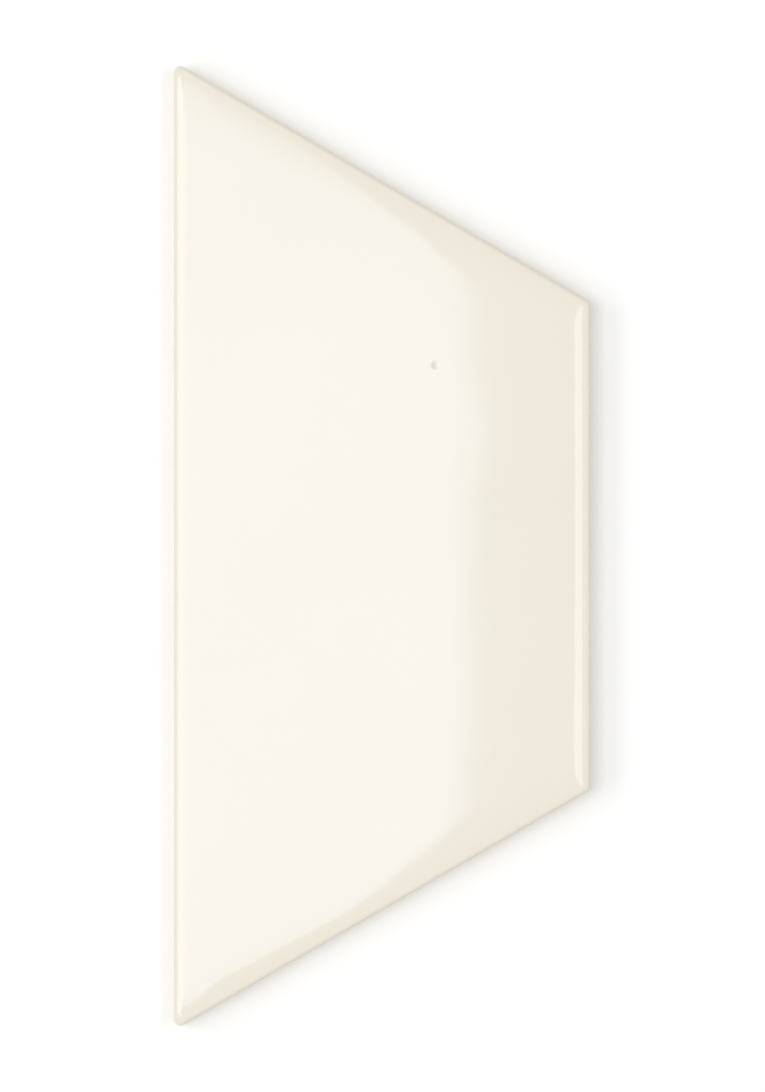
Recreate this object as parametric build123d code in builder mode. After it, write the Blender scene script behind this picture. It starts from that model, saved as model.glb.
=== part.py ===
from build123d import *
import os
from math import ceil

os.makedirs("parts", exist_ok=True)

# Sizes in millimetres. The tile is half of a regular hexagon. It lies on its back,
# glaze face up, with its long base on the -X side and the origin in the middle of its back.
long_base = 230  # between the sharp corners, before they are rounded
width_across = 99  # from the long base to the short one
base_angle = 60  # degrees, inside each corner of the long base
thickness = 8  # from the back's ribs to the flat of the glaze face
corner_round = 1.5  # radius of the four corners, seen from above

# The walls are upright down to the line where the two halves of the die meet.
# Below it they lean in, so that the pressed tile slides out.
foot_height = 3
foot_inset = 0.3

# The glaze face is flat in the middle and falls away in a cubic curve towards its rim.
cushion_margin = 12  # how far in from the rim the fall starts
cushion_drop = 0.25
cushion_corner = 6  # corner radius of the flat
cushion_rings = 4  # sections through the fall, from the rim to the flat
edge_round = 1.2  # the tight round between the glaze face and the walls

# The back has a waffle of shallow pockets that the adhesive keys into.
# Ribs cross in the middle, and a plain border follows the tile's outline.
border_width = 8
rib_width = 3
pocket_size = 18.5  # so that four columns fill the width between the borders
pocket_depth = 0.7
pocket_draft = 30  # degrees, the lean of a pocket's walls
pocket_corner = 2.5
smallest_pocket = 20  # square millimetres of its middle, and less is left solid


def draw_outline(sketch, inset, corner):
    """Draws the tile's outline, moved in from the walls, with rounded corners."""
    Trapezoid(long_base, width_across, base_angle, rotation=-90)
    if inset > 0:
        offset(amount=-inset, kind=Kind.INTERSECTION)
    if corner > 0:
        fillet(sketch.vertices(), corner)


with BuildPart() as trapezoid_tile:
    # Upright walls, from the die's parting line up to the rim of the glaze face
    rim_height = thickness - cushion_drop
    with BuildSketch(Plane.XY.offset(foot_height)) as wall_outline:
        draw_outline(wall_outline, 0, corner_round)
    extrude(amount=rim_height - foot_height)

    # Foot, which narrows from the parting line to the back
    with BuildSketch(Plane.XY.offset(foot_height)) as parting_outline:
        draw_outline(parting_outline, 0, corner_round)
    with BuildSketch() as back_outline:
        draw_outline(back_outline, foot_inset, corner_round)
    loft(ruled=True)

    # Cushioned glaze face, drawn as rings that climb the curve from the rim to the flat
    for ring in range(cushion_rings):
        climb = ring / (cushion_rings - 1)
        ring_height = thickness - cushion_drop * (1 - climb) ** 3
        ring_corner = corner_round + (cushion_corner - corner_round) * climb
        with BuildSketch(Plane.XY.offset(ring_height)) as cushion_ring:
            draw_outline(cushion_ring, cushion_margin * climb, ring_corner)
    loft()

    # Tight round along the rim
    walls = trapezoid_tile.faces().filter_by(lambda face: abs(face.normal_at().Z) < 0.001)
    rim = walls.edges().filter_by(lambda edge: edge.center().Z > rim_height - 0.001)
    fillet(rim, edge_round)

    # Keying pockets, in an even number of columns and rows, cut off along the border.
    # The middles are drawn first, and a rounded edge is then put round each of them.
    pitch = pocket_size + rib_width
    columns = 2 * ceil(width_across / pitch / 2)
    rows = 2 * ceil(long_base / pitch / 2)
    middle_size = pocket_size - 2 * pocket_corner
    with BuildSketch(mode=Mode.PRIVATE) as pocket_field:
        draw_outline(pocket_field, border_width + pocket_corner, 0)
    with BuildSketch(mode=Mode.PRIVATE) as pocket_middles:
        with GridLocations(pitch, pitch, columns, rows):
            Rectangle(middle_size, middle_size)
        add(pocket_field.sketch, mode=Mode.INTERSECT)
    with BuildSketch() as pockets:
        add(pocket_middles.faces().filter_by(lambda middle: middle.area > smallest_pocket))
        offset(amount=pocket_corner)
    extrude(amount=pocket_depth, taper=pocket_draft, mode=Mode.SUBTRACT)

trapezoid_tile.part.label = "trapezoid_tile"
export_step(trapezoid_tile.part, "parts/trapezoid_tile.step")
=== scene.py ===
# %% [markdown]
# # A glazed trapezoid tile
#
# This wall tile is half of a regular hexagon. Clay powder is pressed in a steel die, dried,
# flooded with ivory glaze on its face and fired as one piece. The measured model gives its
# true size, and what is left for us is what the glaze and the fire did: a face that is never
# quite flat, a soft rim, a glaze line that wanders along the walls, and bare clay below it.
#
# The measured tile is loaded first, because everything that follows takes its size from it.

import math

import bmesh
import bpy
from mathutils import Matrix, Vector, noise


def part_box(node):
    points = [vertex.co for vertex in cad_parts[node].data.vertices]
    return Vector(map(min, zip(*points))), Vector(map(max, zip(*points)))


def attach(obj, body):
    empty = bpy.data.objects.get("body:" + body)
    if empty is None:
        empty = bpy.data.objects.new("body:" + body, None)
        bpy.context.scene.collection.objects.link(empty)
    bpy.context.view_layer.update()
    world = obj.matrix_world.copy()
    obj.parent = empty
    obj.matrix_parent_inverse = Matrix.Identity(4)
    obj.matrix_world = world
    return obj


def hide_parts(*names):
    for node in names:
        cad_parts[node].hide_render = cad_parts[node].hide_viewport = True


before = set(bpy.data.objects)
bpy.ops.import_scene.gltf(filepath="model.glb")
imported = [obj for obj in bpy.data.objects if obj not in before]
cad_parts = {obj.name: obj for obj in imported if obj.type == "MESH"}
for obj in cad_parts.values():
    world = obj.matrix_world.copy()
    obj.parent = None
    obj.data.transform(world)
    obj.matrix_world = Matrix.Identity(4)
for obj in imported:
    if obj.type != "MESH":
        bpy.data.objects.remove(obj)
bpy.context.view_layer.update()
MM = 0.001
low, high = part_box("trapezoid_tile")
thickness = high.z
width_across = high.x - low.x
print("measured tile", [round(side / MM, 2) for side in high - low], "mm")

# %% [markdown]
# ## The outline, at any level
#
# Seen from above, every level of the tile is the same figure: a trapezoid with rounded
# corners. A bevel could round them, but its arc is only true at a right angle, and these
# corners have 60 and 120 degrees. So a point is spun about each corner of a smaller
# trapezoid instead, which leaves a true arc at any angle, and the arcs are joined up.

# %% Corners of the outline
base_angle = math.radians(60)
corner_round = 1.5 * MM
# The measured length ends at the rounded corners, and the sharp ones lie further out.
long_base = high.y - low.y + 2 * corner_round * (1 / math.tan(base_angle / 2) - 1)
short_base = long_base - 2 * width_across / math.tan(base_angle)
print("sharp long base", round(long_base / MM, 2), "short base", round(short_base / MM, 2), "mm")


def outline_corners(inset):
    """The four corners of the outline moved in from the walls, anticlockwise from above."""
    half_width = width_across / 2 - inset
    long_half = long_base / 2 - inset / math.tan(base_angle / 2)
    short_half = short_base / 2 - inset * math.tan(base_angle / 2)
    places = ((-1, -long_half), (1, -short_half), (1, short_half), (-1, long_half))
    return [Vector((side * half_width, y, 0)) for side, y in places]


# %% A ring that runs round a set of corners
def draw_ring(mesh, corners, radius, height, steps):
    """Draws a closed line at a radius round the corners. Returns its chains: arc, side, arc, side."""
    ends, arcs = [], []
    for behind, here, ahead in zip(corners[-1:] + corners[:-1], corners, corners[1:] + corners[:1]):
        way_in = (here - behind).normalized()
        way_out = (ahead - here).normalized()
        centre = here + Vector((0, 0, height))
        start = mesh.verts.new(centre + radius * Vector((way_in.y, -way_in.x, 0)))
        known = set(mesh.edges)
        spun = bmesh.ops.spin(
            mesh, geom=[start], cent=centre, axis=(0, 0, 1), angle=way_in.angle(way_out), steps=steps
        )
        ends.append((start, spun["geom_last"][0]))
        arcs.append([edge for edge in mesh.edges if edge not in known])
    chains = []
    for arc, (_, end), (start, _) in zip(arcs, ends, ends[1:] + ends[:1]):
        chains += [arc, [mesh.edges.new((end, start))]]
    return chains


# %% A skin from ring to ring
def skin_rings(mesh, rings, finish):
    """Bridges each ring to the next, chain by chain, so that corners meet corners."""
    for lower, upper in zip(rings, rings[1:]):
        for chain_below, chain_above in zip(lower, upper):
            made = bmesh.ops.bridge_loops(mesh, edges=chain_below + chain_above)
            for face in made["faces"]:
                face.material_index = finish


# %% [markdown]
# ## The pocketed back
#
# The back of a pressed tile has a waffle of shallow pockets that the adhesive keys into.
# They could be cut with booleans, but those leave long thin faces and shading faults. Here
# a sheet of squares is cut off along the border with planes, each square that is left becomes
# the middle of a pocket, and rings round it make the lip, the sloping wall and the floor.

# %% Cut the middles of the pockets
border_width = 8 * MM
rib_width = 3 * MM
pocket_size = 18.5 * MM
pocket_corner = 2.5 * MM
smallest_middle = 20 * MM * MM  # what is left of a square is pressed only if it is larger

pitch = pocket_size + rib_width
columns = 2 * math.ceil(width_across / pitch / 2)
rows = 2 * math.ceil(long_base / pitch / 2)
sheet = bmesh.new()
bmesh.ops.create_grid(sheet, x_segments=columns, y_segments=rows, size=0.5)
bmesh.ops.scale(sheet, vec=(columns * pitch, rows * pitch, 1), verts=sheet.verts)
# Without an even offset the corners move by less, and the ribs come out too thin.
ribs = bmesh.ops.inset_individual(
    sheet, faces=sheet.faces, thickness=rib_width / 2 + pocket_corner, use_even_offset=True
)
bmesh.ops.delete(sheet, geom=ribs["faces"], context="FACES")
middle_size = min(edge.calc_length() for edge in sheet.edges)
print("ribs", round((pitch - middle_size - 2 * pocket_corner) / MM, 2), "mm wide")
field = outline_corners(border_width + pocket_corner)
for here, ahead in zip(field, field[1:] + field[:1]):
    run = ahead - here
    everything = sheet.verts[:] + sheet.edges[:] + sheet.faces[:]
    bmesh.ops.bisect_plane(
        sheet, geom=everything, plane_co=here, plane_no=(run.y, -run.x, 0), clear_outer=True
    )
middles = [
    [vert.co.copy() for vert in face.verts] for face in sheet.faces if face.calc_area() > smallest_middle
]
sheet.free()
print("pockets", len(middles), "of", columns, "by", rows, "squares")

# %% Press the pockets
GLAZE, CLAY = 0, 1  # the places of the two finishes on the tile
pocket_depth = 0.7 * MM
wall_lean = math.tan(math.radians(30))
flat_band = 0.15 * MM  # a flat ring round each pocket keeps the shading of the ribs even
lip_round = 0.1 * MM
floor_round = 0.25 * MM
floor_radius = pocket_corner - pocket_depth * wall_lean
# How far out from the middle's corners each ring runs, and how high, from the rib to the floor.
# Two rings soften the lip, and the last three lay a small round between the wall and the floor.
pocket_section = (
    (pocket_corner + flat_band, 0),
    (pocket_corner, 0),
    (pocket_corner - 1.5 * lip_round * wall_lean, 0.6 * lip_round),
    (pocket_corner - 2 * lip_round * wall_lean - 0.03 * MM, 2 * lip_round),
    (floor_radius + floor_round * wall_lean, pocket_depth - floor_round),
    (floor_radius - 0.2 * floor_round, pocket_depth - 0.3 * floor_round),
    (floor_radius - 0.9 * floor_round, pocket_depth),
)
pocket_steps = 4
tile_mesh = bmesh.new()
for middle in middles:
    pocket_rings = [
        draw_ring(tile_mesh, middle, radius, height, pocket_steps) for radius, height in pocket_section
    ]
    skin_rings(tile_mesh, pocket_rings, CLAY)
    floor_edges = [edge for chain in pocket_rings[-1] for edge in chain]
    for face in bmesh.ops.contextual_create(tile_mesh, geom=floor_edges)["faces"]:
        face.material_index = CLAY
print("pocket faces", len(tile_mesh.faces))

# %% [markdown]
# ## The walls and the cushioned face
#
# The section through the rim is one curve. From the back up: a foot that leans out so that
# the tile slides from the die, an upright clay wall, the thick bead where the glaze stops
# running, a glazed wall, a tight round, and a cubic curve that climbs to the flat of the face.
# Each point of that section becomes a ring. A list of rings is easier to tune than a swept
# curve, because the corners get rounder as they climb, which a sweep can't do.

# %% The cushion, as a height and a corner radius at each distance from the walls
cushion_margin = 12 * MM
cushion_drop = 0.25 * MM
cushion_corner = 6 * MM


def cushion_height(inset):
    """Height of the glazed face at a distance in from the walls."""
    return thickness - cushion_drop * (1 - min(inset / cushion_margin, 1)) ** 3


def plan_radius(inset):
    """Corner radius of the outline at a distance in from the walls."""
    return corner_round + (cushion_corner - corner_round) * min(max(inset, 0) / cushion_margin, 1)


# %% Section through the rim, as distances in from the walls and heights
foot_height = 3 * MM
foot_inset = 0.3 * MM
arris = 0.08 * MM
clay_inset = 0.1 * MM  # the bare wall stands this far behind the glaze
glaze_line = 4.3 * MM
bead_inset = 0.005 * MM  # the bead stands furthest out, a hair within the measured tile
wall_inset = 0.03 * MM  # the glazed wall, a little behind the bead
edge_round = 1.2 * MM
round_steps = 8
cushion_steps = 10

foot_line = foot_inset + clay_inset
clay_section = [
    (foot_line + arris + flat_band, 0),
    (foot_line + arris, 0),
    (foot_line + 0.3 * arris, 0.3 * arris),
    (foot_line, arris),
    (clay_inset, foot_height),
    (clay_inset, glaze_line),
]
bead_section = [
    (0.4 * clay_inset, glaze_line + 0.03 * MM),
    (0.1 * clay_inset, glaze_line + 0.12 * MM),
    (bead_inset, glaze_line + 0.25 * MM),
    (0.4 * wall_inset, glaze_line + 0.5 * MM),
    (wall_inset, glaze_line + 0.9 * MM),
]

# The tight round turns from upright until it meets the slope of the cushion.
rim_slope = math.atan(3 * cushion_drop / cushion_margin * (1 - edge_round / cushion_margin) ** 2)
round_end = math.pi / 2 - rim_slope
round_inset = wall_inset + edge_round * (1 - math.cos(round_end))
round_centre = cushion_height(round_inset) - edge_round * math.sin(round_end)
round_section = []
for step in range(round_steps + 1):
    lean = round_end * step / round_steps
    inset = wall_inset + edge_round * (1 - math.cos(lean))
    round_section.append((inset, round_centre + edge_round * math.sin(lean)))
cushion_section = []
for step in range(1, cushion_steps + 1):
    inset = round_inset + (cushion_margin - round_inset) * step / cushion_steps
    cushion_section.append((inset, cushion_height(inset)))
glaze_section = clay_section[-1:] + bead_section + round_section + cushion_section
print("rings", len(clay_section) + len(glaze_section) - 1, "rim slope", round(math.degrees(rim_slope), 2))

# %% Draw the rings and skin them
corner_steps = 8
rings = {}
for inset, height in clay_section + glaze_section[1:]:
    radius = plan_radius(inset)
    rings[inset, height] = draw_ring(
        tile_mesh, outline_corners(inset + radius), radius, height, corner_steps
    )
skin_rings(tile_mesh, [rings[place] for place in clay_section], CLAY)
skin_rings(tile_mesh, [rings[place] for place in glaze_section], GLAZE)
print("faces with the walls", len(tile_mesh.faces))

# %% [markdown]
# ## Even faces, and a face to the glaze
#
# Each side is still one long face per ring. Cuts across all of them at once turn the bands
# into small even quads, which the waviness below needs. The flat of the face is then filled
# with a grid between its two bases, and the back is filled between its rim and the pockets.

# %% Cut the sides
base_cuts = 99
leg_cuts = 71
leg_sides = [edge for ring in rings.values() for edge in ring[1] + ring[5]]
base_sides = [edge for ring in rings.values() for edge in ring[3] + ring[7]]
bmesh.ops.subdivide_edges(tile_mesh, edges=leg_sides, cuts=leg_cuts, use_grid_fill=True)
bmesh.ops.subdivide_edges(tile_mesh, edges=base_sides, cuts=base_cuts, use_grid_fill=True)
print("faces with the cuts", len(tile_mesh.faces))

# %% Fill the flat of the face with a grid
flat_height = thickness - 0.001 * MM  # a hair less, so that rounding doesn't matter
flat_rim = [
    edge for edge in tile_mesh.edges
    if edge.is_boundary and min(vert.co.z for vert in edge.verts) > flat_height
]


def belongs_to_base(edge):
    """True for the edges of a base and of the half of each corner arc that is next to it."""
    start, end = (vert.co for vert in edge.verts)
    along = abs((end - start).normalized().y)
    # The middle of an arc is 60 degrees from the long base, or 30 degrees from the short one.
    # A leg runs at 60 degrees as well, so the first limit lies a little above its cosine.
    least_along = 0.55 if start.x < 0 else 0.85
    return along > least_along


base_edges = [edge for edge in flat_rim if belongs_to_base(edge)]
filled = bmesh.ops.grid_fill(tile_mesh, edges=base_edges, mat_nr=GLAZE, use_smooth=True)
print("flat of the face", len(filled["faces"]), "quads")

# %% Fill the ribs and the border of the back
open_edges = [edge for edge in tile_mesh.edges if edge.is_boundary]
filled = bmesh.ops.triangle_fill(tile_mesh, edges=open_edges, use_beauty=True, normal=(0, 0, -1))
rib_faces = [part for part in filled["geom"] if isinstance(part, bmesh.types.BMFace)]
for face in rib_faces:
    face.material_index = CLAY
still_open = sum(edge.is_boundary for edge in tile_mesh.edges)
bmesh.ops.recalc_face_normals(tile_mesh, faces=tile_mesh.faces)
print("ribs and border", len(rib_faces), "faces, open edges", still_open)

# %% [markdown]
# ## What the fire did
#
# No fired face is flat. The tile warps a little, and the glaze, which was a thick syrup for
# some minutes, froze in long shallow swells. They are only hundredths of a millimetre high,
# yet a mirror-bright glaze shows them as a wandering edge on every reflection. A bump node
# could draw them, but it would be lost in the plain mesh. So they are moved into the mesh
# with smooth noise, always downwards, and the tile stays within its size.

# %% Warp and swells of the fired face
corner_droop = 0.057 * MM  # how far the two corners of the short base sank in the kiln
warp_height = 0.014 * MM
warp_length = 150 * MM
swell_height = 0.02 * MM
swell_length = 18 * MM
warp_seed, swell_seed = 27.3, 22.1  # a seed picks one of the noise's many patterns


def smooth_noise(place, length, seed):
    """Smooth noise from 0 to 1 with waves about as long as the length, seen from above."""
    return 0.5 + 0.5 * noise.noise(Vector((place.x / length, place.y / length, seed)))


def fired_sag(place):
    """How far the fired face lies below a true plane, always more than nothing."""
    towards_far_side = max(0, place.x / (width_across / 2))
    sag = corner_droop * (towards_far_side * place.y / (short_base / 2)) ** 2
    sag += warp_height * smooth_noise(place, warp_length, warp_seed)
    return sag + swell_height * smooth_noise(place, swell_length, swell_seed)


print("sag of the middle", round(fired_sag(Vector((0, 0, thickness))) / MM, 4), "mm")

# %% The glaze line, and how thick the glaze lies
line_height = 0.75 * MM
line_length = 17 * MM
fine_share = 0.35  # the height of a finer wander, a third as long
line_seed, fine_seed = 5.5, 6.5
full_cover = 0.9 * MM  # this far above its line the glaze has its full thickness
rim_thinning = 0.2  # the share of the glaze that drew back from the rim
rim_level = round_centre + 0.7 * edge_round
rim_reach = 0.5 * MM


def line_wander(place):
    """How far the glaze line lies above or below its level."""
    slow = smooth_noise(place, line_length, line_seed) - 0.5
    fine = smooth_noise(place, line_length / 3, fine_seed) - 0.5
    return line_height * (slow + fine_share * fine)


cover_layer = tile_mesh.verts.layers.float.new("glaze_cover")
for vert in tile_mesh.verts:
    place = vert.co.copy()
    above_foot = max(0, (place.z - foot_height) / (thickness - foot_height))
    above_line = min(1, max(0, (place.z - glaze_line) / full_cover))
    near_line = max(0, 1 - abs(place.z - glaze_line) / (glaze_line - foot_height))
    near_rim = max(0, 1 - abs(place.z - rim_level) / rim_reach)
    vert[cover_layer] = above_line - rim_thinning * near_rim
    vert.co.z += near_line * line_wander(place) - above_foot * fired_sag(place)
print("highest point", round(max(vert.co.z for vert in tile_mesh.verts) / MM, 3), "mm")


# %% Make the piece
def make_piece(name, mesh, sharp_angle):
    """Turns a bmesh into an object with smooth faces, and sharp edges past an angle."""
    data = bpy.data.meshes.new(name)
    mesh.to_mesh(data)
    mesh.free()
    data.shade_smooth()
    data.set_sharp_from_angle(angle=sharp_angle)
    piece = bpy.data.objects.new(name, data)
    bpy.context.scene.collection.objects.link(piece)
    return piece


tile = make_piece("glazed_tile", tile_mesh, math.radians(35))
print("tile triangles", sum(len(face.vertices) - 2 for face in tile.data.polygons))

# %% [markdown]
# ## A helper for every kind of node
#
# A material is a small machine of nodes that hand numbers and colours to each other. It
# could be written with a function for each kind of node, but then the reader would have to
# learn those names too. One helper adds any node, sets it up, and gives its inputs a value or
# a link, so that every line below reads like the node in the editor. Noise is read at the
# object's own coordinates, in metres, so a scale of one over a size gives waves of that size.

# %% Helpers for materials
def colour(code):
    """Turns an sRGB hex code into a linear colour."""
    channels = [int(code[place:place + 2], 16) / 255 for place in (1, 3, 5)]
    return [c / 12.92 if c <= 0.04045 else ((c + 0.055) / 1.055) ** 2.4 for c in channels] + [1]


def add_node(tree, kind, inputs, **settings):
    """Adds a node with its settings. An input takes a value, a socket or a node's first output."""
    node = tree.nodes.new("ShaderNode" + kind)
    for name, value in settings.items():
        setattr(node, name, value)
    live = [socket for socket in node.inputs if socket.enabled]
    for key, value in inputs.items():
        socket = live[key] if isinstance(key, int) else next(s for s in live if s.name == key)
        if isinstance(value, bpy.types.Node):
            value = next(output for output in value.outputs if output.enabled)
        if isinstance(value, bpy.types.NodeSocket):
            tree.links.new(value, socket)
        else:
            socket.default_value = value
    return node


def new_tree(owner):
    """Gives a material, world or lamp an empty node tree."""
    owner.use_nodes = True
    owner.node_tree.nodes.clear()
    return owner.node_tree


# %% [markdown]
# ## The glaze
#
# The glaze is a glass, made white with fine crystals of zircon and warm by a trace of iron.
# It is flooded on the dry tile and fired until it melts. It gives the eye a clean bright
# reflection with a slow ripple, over a warm white that is a shade deeper along the rim, where
# it lies thin and lets the clay through. Gas from the clay left one pinhole that an eye
# finds, half healed, and a few that only a finger would. The greyer white in these hollows is
# painted shade.
#
# Glass over a white coat could be two shaders, one on the other. But this glass is itself
# white, so one shader does it: a pale body colour under a surface with the IOR of glass.

# %% Ivory gloss glaze, flooded on and fired
glaze = bpy.data.materials.new("ivory_gloss_glaze")
tree = new_tree(glaze)
smooth_step = {"interpolation_type": "SMOOTHSTEP"}
cloud_size = 40 * MM
place = add_node(tree, "TexCoord", {}).outputs["Object"]
cloud = add_node(tree, "TexNoise", {"Vector": place, "Scale": 1 / cloud_size})
body = add_node(
    tree, "Mix", {"Factor": cloud, "A": colour("#EEE9D9"), "B": colour("#F2ECDD")}, data_type="RGBA"
)
cover = add_node(tree, "Attribute", {}, attribute_name="glaze_cover").outputs["Fac"]
thinned = add_node(tree, "Mix", {"Factor": cover, "A": colour("#D9CBB0"), "B": body}, data_type="RGBA")
print("clouds of", round(cloud_size / MM, 1), "mm in the glaze")

# %% Pinholes in the glaze, and the painted shade in them
pinhole = (12.4 * MM, 42.8 * MM, thickness)
pinhole_core, pinhole_edge = 0.1 * MM, 1.15 * MM
from_pinhole = add_node(tree, "VectorMath", {0: place, 1: pinhole}, operation="DISTANCE")
clear_of_pinhole = add_node(
    tree, "MapRange",
    {"Value": from_pinhole, "From Min": pinhole_core, "From Max": pinhole_edge}, **smooth_step
)
pit_spacing = 22 * MM
pit_edge = 0.09 * MM / pit_spacing
pits = add_node(
    tree, "TexVoronoi", {"Vector": place, "Scale": 1 / pit_spacing}, voronoi_dimensions="2D"
)
clear_of_pits = add_node(
    tree, "MapRange",
    {"Value": pits, "From Min": 0.3 * pit_edge, "From Max": pit_edge, "To Min": 0.6}, **smooth_step
)
unbroken = add_node(tree, "Math", {0: clear_of_pinhole, 1: clear_of_pits}, operation="MULTIPLY")
# The pinhole and the pits are mixed towards a greyer white, which is painted shade in their hollows.
glaze_with_painted_pit_shade = add_node(
    tree, "Mix", {"Factor": unbroken, "A": colour("#E0DACF"), "B": thinned}, data_type="RGBA"
)
print("pinhole", round(2 * pinhole_edge / MM, 1), "mm wide, pits", round(pit_spacing / MM), "mm apart")

# %% Ripple and gloss of the glaze
ripple_size = 7 * MM
ripple_height = 0.005 * MM
pit_depth = 0.12 * MM
ripple = add_node(tree, "TexNoise", {"Vector": place, "Scale": 1 / ripple_size, "Detail": 1.0})
rippled = add_node(tree, "Bump", {"Height": ripple, "Distance": ripple_height, "Strength": 1.0})
normal = add_node(
    tree, "Bump", {"Height": unbroken, "Distance": pit_depth, "Strength": 1.0, "Normal": rippled}
)
gloss = add_node(
    tree, "BsdfPrincipled", {"Base Color": glaze_with_painted_pit_shade, "Roughness": 0.045, "IOR": 1.52, "Normal": normal}
)
add_node(tree, "OutputMaterial", {"Surface": gloss})
print(glaze.name, len(tree.nodes), "nodes, ripple of", ripple_size / MM, "mm")

# %% [markdown]
# ## The bare clay
#
# The body is a pale earthenware, pressed from damp powder and fired. It gives the eye a dry
# buff with a sandy grain and a few iron specks. The walls bear upright marks from the die,
# and what stood on the kiln shelf is dusted with white wash, which keeps tiles from sticking.
#
# Specks could be scattered as small faces, but they lie in the clay and not on it, so they
# are the highest peaks of a fine noise. The wash is told from the clay by its height alone.

# %% Colours of the pressed clay
clay = bpy.data.materials.new("pressed_clay_body")
tree = new_tree(clay)
grain_size = 0.45 * MM
tone_size = 18 * MM
speck_size = 0.8 * MM
place = add_node(tree, "TexCoord", {}).outputs["Object"]
grain = add_node(tree, "TexNoise", {"Vector": place, "Scale": 1 / grain_size})
drift = add_node(tree, "TexNoise", {"Vector": place, "Scale": 1 / tone_size, "Detail": 3.0})
around_nothing = add_node(tree, "Math", {0: grain, 1: 0.5}, operation="SUBTRACT")
tone = add_node(tree, "Math", {0: drift, 1: around_nothing}, operation="ADD")
body = add_node(
    tree, "Mix", {"Factor": tone, "A": colour("#D2BF9F"), "B": colour("#EDE1CB")}, data_type="RGBA"
)
iron = add_node(tree, "TexNoise", {"Vector": place, "Scale": 1 / speck_size, "Detail": 0.0})
specks = add_node(
    tree, "MapRange", {"Value": iron, "From Min": 0.76, "From Max": 0.86, "To Max": 0.6}, **smooth_step
)
specked = add_node(tree, "Mix", {"Factor": specks, "A": body, "B": colour("#8C7150")}, data_type="RGBA")
print("iron specks up to", round(speck_size / MM, 1), "mm wide")

# %% White wash from the kiln shelf
wash_size = 6 * MM
wash_level = 0.12 * MM
height = add_node(tree, "SeparateXYZ", {"Vector": place}).outputs["Z"]
flecks = add_node(tree, "TexNoise", {"Vector": place, "Scale": 1 / wash_size, "Detail": 5.0})
dust = add_node(
    tree, "MapRange",
    {"Value": flecks, "From Min": 0.40, "From Max": 0.60, "To Min": 0.1, "To Max": 0.75}, **smooth_step
)
on_shelf = add_node(
    tree, "MapRange",
    {"Value": height, "From Min": 0.02 * MM, "From Max": wash_level, "To Min": 1.0, "To Max": 0.0},
    **smooth_step
)
wash = add_node(tree, "Math", {0: dust, 1: on_shelf}, operation="MULTIPLY")
washed = add_node(tree, "Mix", {"Factor": wash, "A": specked, "B": colour("#F3EFE6")}, data_type="RGBA")
print("wash up to", round(wash_level / MM, 2), "mm above the shelf")

# %% Grain and die marks of the clay
mark_size = 0.6 * MM
mark_depth = 0.06 * MM
grain_height = 0.07 * MM
upright = add_node(tree, "VectorMath", {0: place, 1: (1, 1, 0.06)}, operation="MULTIPLY")
marks = add_node(tree, "TexNoise", {"Vector": upright, "Scale": 1 / mark_size})
on_wall = add_node(
    tree, "MapRange", {"Value": height, "From Min": 0.2 * MM, "From Max": 0.6 * MM}, **smooth_step
)
wall_marks = add_node(tree, "Math", {0: marks, 1: on_wall}, operation="MULTIPLY")
scored = add_node(tree, "Bump", {"Height": wall_marks, "Distance": mark_depth, "Strength": 1.0})
normal = add_node(
    tree, "Bump", {"Height": grain, "Distance": grain_height, "Strength": 1.0, "Normal": scored}
)
matt = add_node(
    tree, "BsdfPrincipled", {"Base Color": washed, "Roughness": 0.85, "IOR": 1.5, "Normal": normal}
)
add_node(tree, "OutputMaterial", {"Surface": matt})
print(clay.name, len(tree.nodes), "nodes, grain of", grain_size / MM, "mm")

# %% Dress the tile
tile.data.materials.append(glaze)
tile.data.materials.append(clay)
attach(tile, "root")
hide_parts("trapezoid_tile")
print(tile.name, "wears", [finish.name for finish in tile.data.materials])

# %% [markdown]
# ## The floor
#
# The tile lies on pale matt paper, which keeps its soft shadow. A plain plane would do for
# the view from above, but from below it would hide the back and keep the light from it. So
# this floor is a skin of rings with an opening just inside the tile's foot, and its underside
# lets the camera see through.

# %% Floor
hole_inset = foot_line + 0.6 * arris  # just inside the foot, so that no light shows under it
hole_round = plan_radius(hole_inset)
near_reach, floor_reach = 0.4, 20  # metres; the near ring keeps the faces by the tile small
floor_level = -0.01 * MM
floor_mesh = bmesh.new()
hole_corners = outline_corners(hole_inset + hole_round)
floor_rings = [
    draw_ring(floor_mesh, hole_corners, reach, floor_level, corner_steps)
    for reach in (hole_round, near_reach, floor_reach)
]
skin_rings(floor_mesh, floor_rings, 0)
face_down = [face for face in floor_mesh.faces if face.normal.z < 0]
bmesh.ops.reverse_faces(floor_mesh, faces=face_down)
floor = make_piece("floor", floor_mesh, math.pi)
print("floor faces", len(floor.data.polygons))

# %% [markdown]
# ## The paper and the air
#
# The background has to be white. Stronger lamps could make it so, but they would bleach the
# ivory. So the paper has a faint glow that only the camera sees, and the world shines at one
# strength on matt surfaces and shows itself as plain white to the camera and in reflections.

# %% White paper sweep
paper_glow = 0.14  # where white is 1
paper = bpy.data.materials.new("white_paper_sweep")
tree = new_tree(paper)
rays = add_node(tree, "LightPath", {}).outputs
from_below = add_node(tree, "NewGeometry", {}).outputs["Backfacing"]
dull = add_node(tree, "BsdfDiffuse", {"Color": colour("#F4F4F2")})
glow = add_node(tree, "Emission", {"Color": colour("#FFFFFF"), "Strength": paper_glow})
shining = add_node(tree, "AddShader", {0: dull, 1: glow})
upper_side = add_node(tree, "MixShader", {0: rays["Is Camera Ray"], 1: dull, 2: shining})
see_through = add_node(tree, "BsdfTransparent", {})
hidden = add_node(tree, "Math", {0: from_below, 1: rays["Is Camera Ray"]}, operation="MULTIPLY")
sheet_of_paper = add_node(tree, "MixShader", {0: hidden, 1: upper_side, 2: see_through})
add_node(tree, "OutputMaterial", {"Surface": sheet_of_paper})
floor.data.materials.append(paper)
print(paper.name, len(tree.nodes), "nodes, glow", paper_glow)

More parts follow.
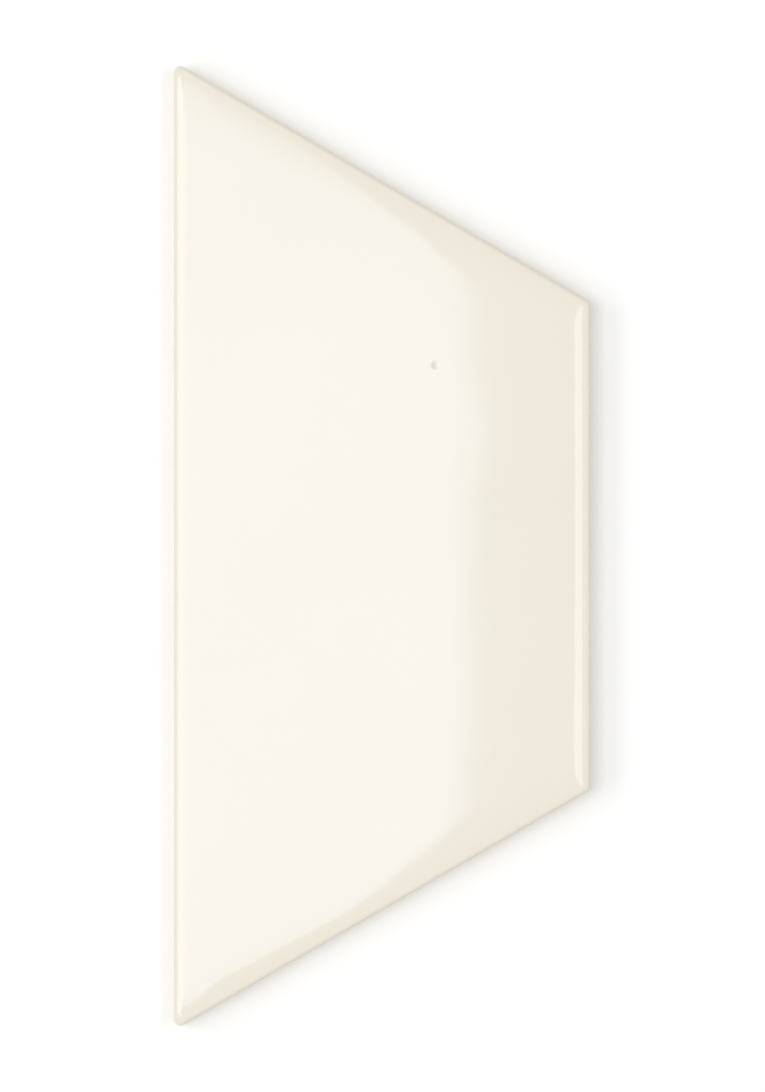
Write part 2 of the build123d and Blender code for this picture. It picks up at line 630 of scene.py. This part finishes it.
# %% World
ambient = 0.53
world = bpy.data.worlds.new("studio")
tree = new_tree(world)
rays = add_node(tree, "LightPath", {}).outputs
mirrored = add_node(
    tree, "Math", {0: rays["Is Camera Ray"], 1: rays["Is Glossy Ray"]}, operation="MAXIMUM"
)
shown = add_node(tree, "Math", {0: mirrored, 1: rays["Is Transmission Ray"]}, operation="MAXIMUM")
level = add_node(tree, "MapRange", {"Value": shown, "To Min": ambient, "To Max": 1.0})
light = add_node(tree, "Background", {"Color": colour("#FFFFFF"), "Strength": level})
add_node(tree, "OutputWorld", {"Surface": light})
bpy.context.scene.world = world
print("ambient light", ambient)

# %% [markdown]
# ## The camera
#
# The camera looks straight down on the tile. It could hang close by with a short lens, but
# then the walls would show as they do in a snapshot. A long lens from far off keeps the
# outline true. Its height follows from the share of the picture that the tile fills.

# %% Camera
tile_share = 0.88  # of the picture's height
lens, sensor = 250, 36  # millimetres
far_limit = 100  # metres, past the end of the floor
picture_height = (high.y - low.y) / tile_share
camera_height = picture_height * lens / sensor  # above the tile's face
camera_data = bpy.data.cameras.new("camera")
camera_data.lens = lens
camera_data.sensor_width = sensor
camera_data.clip_end = far_limit
camera = bpy.data.objects.new("camera", camera_data)
camera.location = (0, 0, thickness + camera_height)
bpy.context.scene.collection.objects.link(camera)
bpy.context.scene.camera = camera
bpy.context.scene.view_settings.view_transform = "Standard"
print("camera height", round(camera_height, 3), "m")

# %% [markdown]
# ## The lamps
#
# A gloss glaze shows the shapes of the lamps more than their light. So the big softbox is
# placed by what the tile mirrors: a point of the face mirrors a point of the lamp's plane
# that is further out by the same ratio everywhere, and the softbox ends where the highlight
# has to end. One panel can't fade by itself, and overlapping panels don't add up in a mirror,
# so nodes dim this one towards its ends. A bank further left and a strip on the right are
# what the two rims mirror. Two fill lamps, which no reflection shows, even out the light.

# %% Helpers for lamps
def hang_panel(name, centre, aim, width, depth, radiance):
    """Hangs a soft panel that faces a point. Its brightness is given as white is 1."""
    lamp = bpy.data.lights.new(name, "AREA")
    lamp.shape = "RECTANGLE"
    lamp.size, lamp.size_y = width, depth
    lamp.energy = radiance * math.pi * width * depth
    panel = bpy.data.objects.new(name, lamp)
    panel.location = centre
    panel.rotation_euler = (Vector(centre) - Vector(aim)).to_track_quat("Z", "Y").to_euler()
    panel.visible_camera = False
    bpy.context.scene.collection.objects.link(panel)
    return panel


def hang_overhead(name, corner, opposite, height, radiance):
    """Hangs a panel that faces straight down, given by two opposite corners seen from above."""
    x, y = ((start + end) / 2 for start, end in zip(corner, opposite))
    width, depth = (end - start for start, end in zip(corner, opposite))
    return hang_panel(name, (x, y, height), (x, y, 0), width, depth, radiance)


def feather_panel(panel, stops):
    """Lets a panel fade along its depth. The stops run from its back edge, at 0, to its front."""
    tree = new_tree(panel.data)
    spot = add_node(tree, "NewGeometry", {}).outputs["Parametric"]
    along = add_node(tree, "SeparateXYZ", {"Vector": spot}).outputs["Y"]
    fade = add_node(tree, "ValToRGB", {"Fac": along})
    elements = fade.color_ramp.elements
    while len(elements) > 1:
        elements.remove(elements[-1])
    for place, share in stops:
        elements.new(place).color = (share, share, share, 1)
    elements.remove(elements[0])
    light = add_node(tree, "Emission", {"Strength": fade})
    add_node(tree, "OutputLight", {"Surface": light})


# %% The big softbox
overhead_height = 2.4  # metres, as all the lamps' sizes and places are
highlight_end = 21.8 * MM  # on the tile, right of its middle
mirror_ratio = (overhead_height - thickness + camera_height) / camera_height
inner_edge = highlight_end * mirror_ratio
outer_edge = -0.29
front_edge, back_edge = -0.325, 0.45
softbox = hang_overhead(
    "overhead_softbox", corner=(outer_edge, front_edge), opposite=(inner_edge, back_edge),
    height=overhead_height, radiance=3.3
)
softbox.data.color = colour("#D2DDFF")[:3]
softbox_fade = (
    (0, 0), (0.09, 0.17), (0.17, 0.45), (0.26, 0.68), (0.3, 0.82),
    (0.38, 0.88), (0.43, 1), (0.79, 1), (1, 0.8),
)
feather_panel(softbox, softbox_fade)
print("mirror ratio", round(mirror_ratio, 3), "inner edge", round(inner_edge, 4), "m")

# %% The lamps that the rims mirror
hang_overhead(
    "left_bank", corner=(-1.3, -0.6), opposite=(outer_edge, 0.6),
    height=overhead_height, radiance=3.2
)
hang_overhead(
    "right_strip", corner=(0.245, -0.3), opposite=(0.345, 0.3),
    height=overhead_height, radiance=2.2
)
print("lamps", len(bpy.data.lights))

# %% The fill, and the light from below
tile_middle = (0, 0, 0)
left_fill = hang_panel(
    "left_fill", centre=(-1.8, 0, 1.6), aim=tile_middle, width=2.2, depth=0.8, radiance=2.6
)
right_fill = hang_panel(
    "right_fill", centre=(1.2, 0, 2.1), aim=tile_middle, width=1.3, depth=0.8, radiance=2.4
)
for fill in (left_fill, right_fill):
    fill.visible_glossy = False
# This one lies under the floor, and only a view from below sees what it lights.
hang_panel(
    "under_softbox", centre=(-0.9, -0.7, -0.6), aim=tile_middle, width=0.8, depth=0.8, radiance=3.0
)
print("lamps", len(bpy.data.lights))
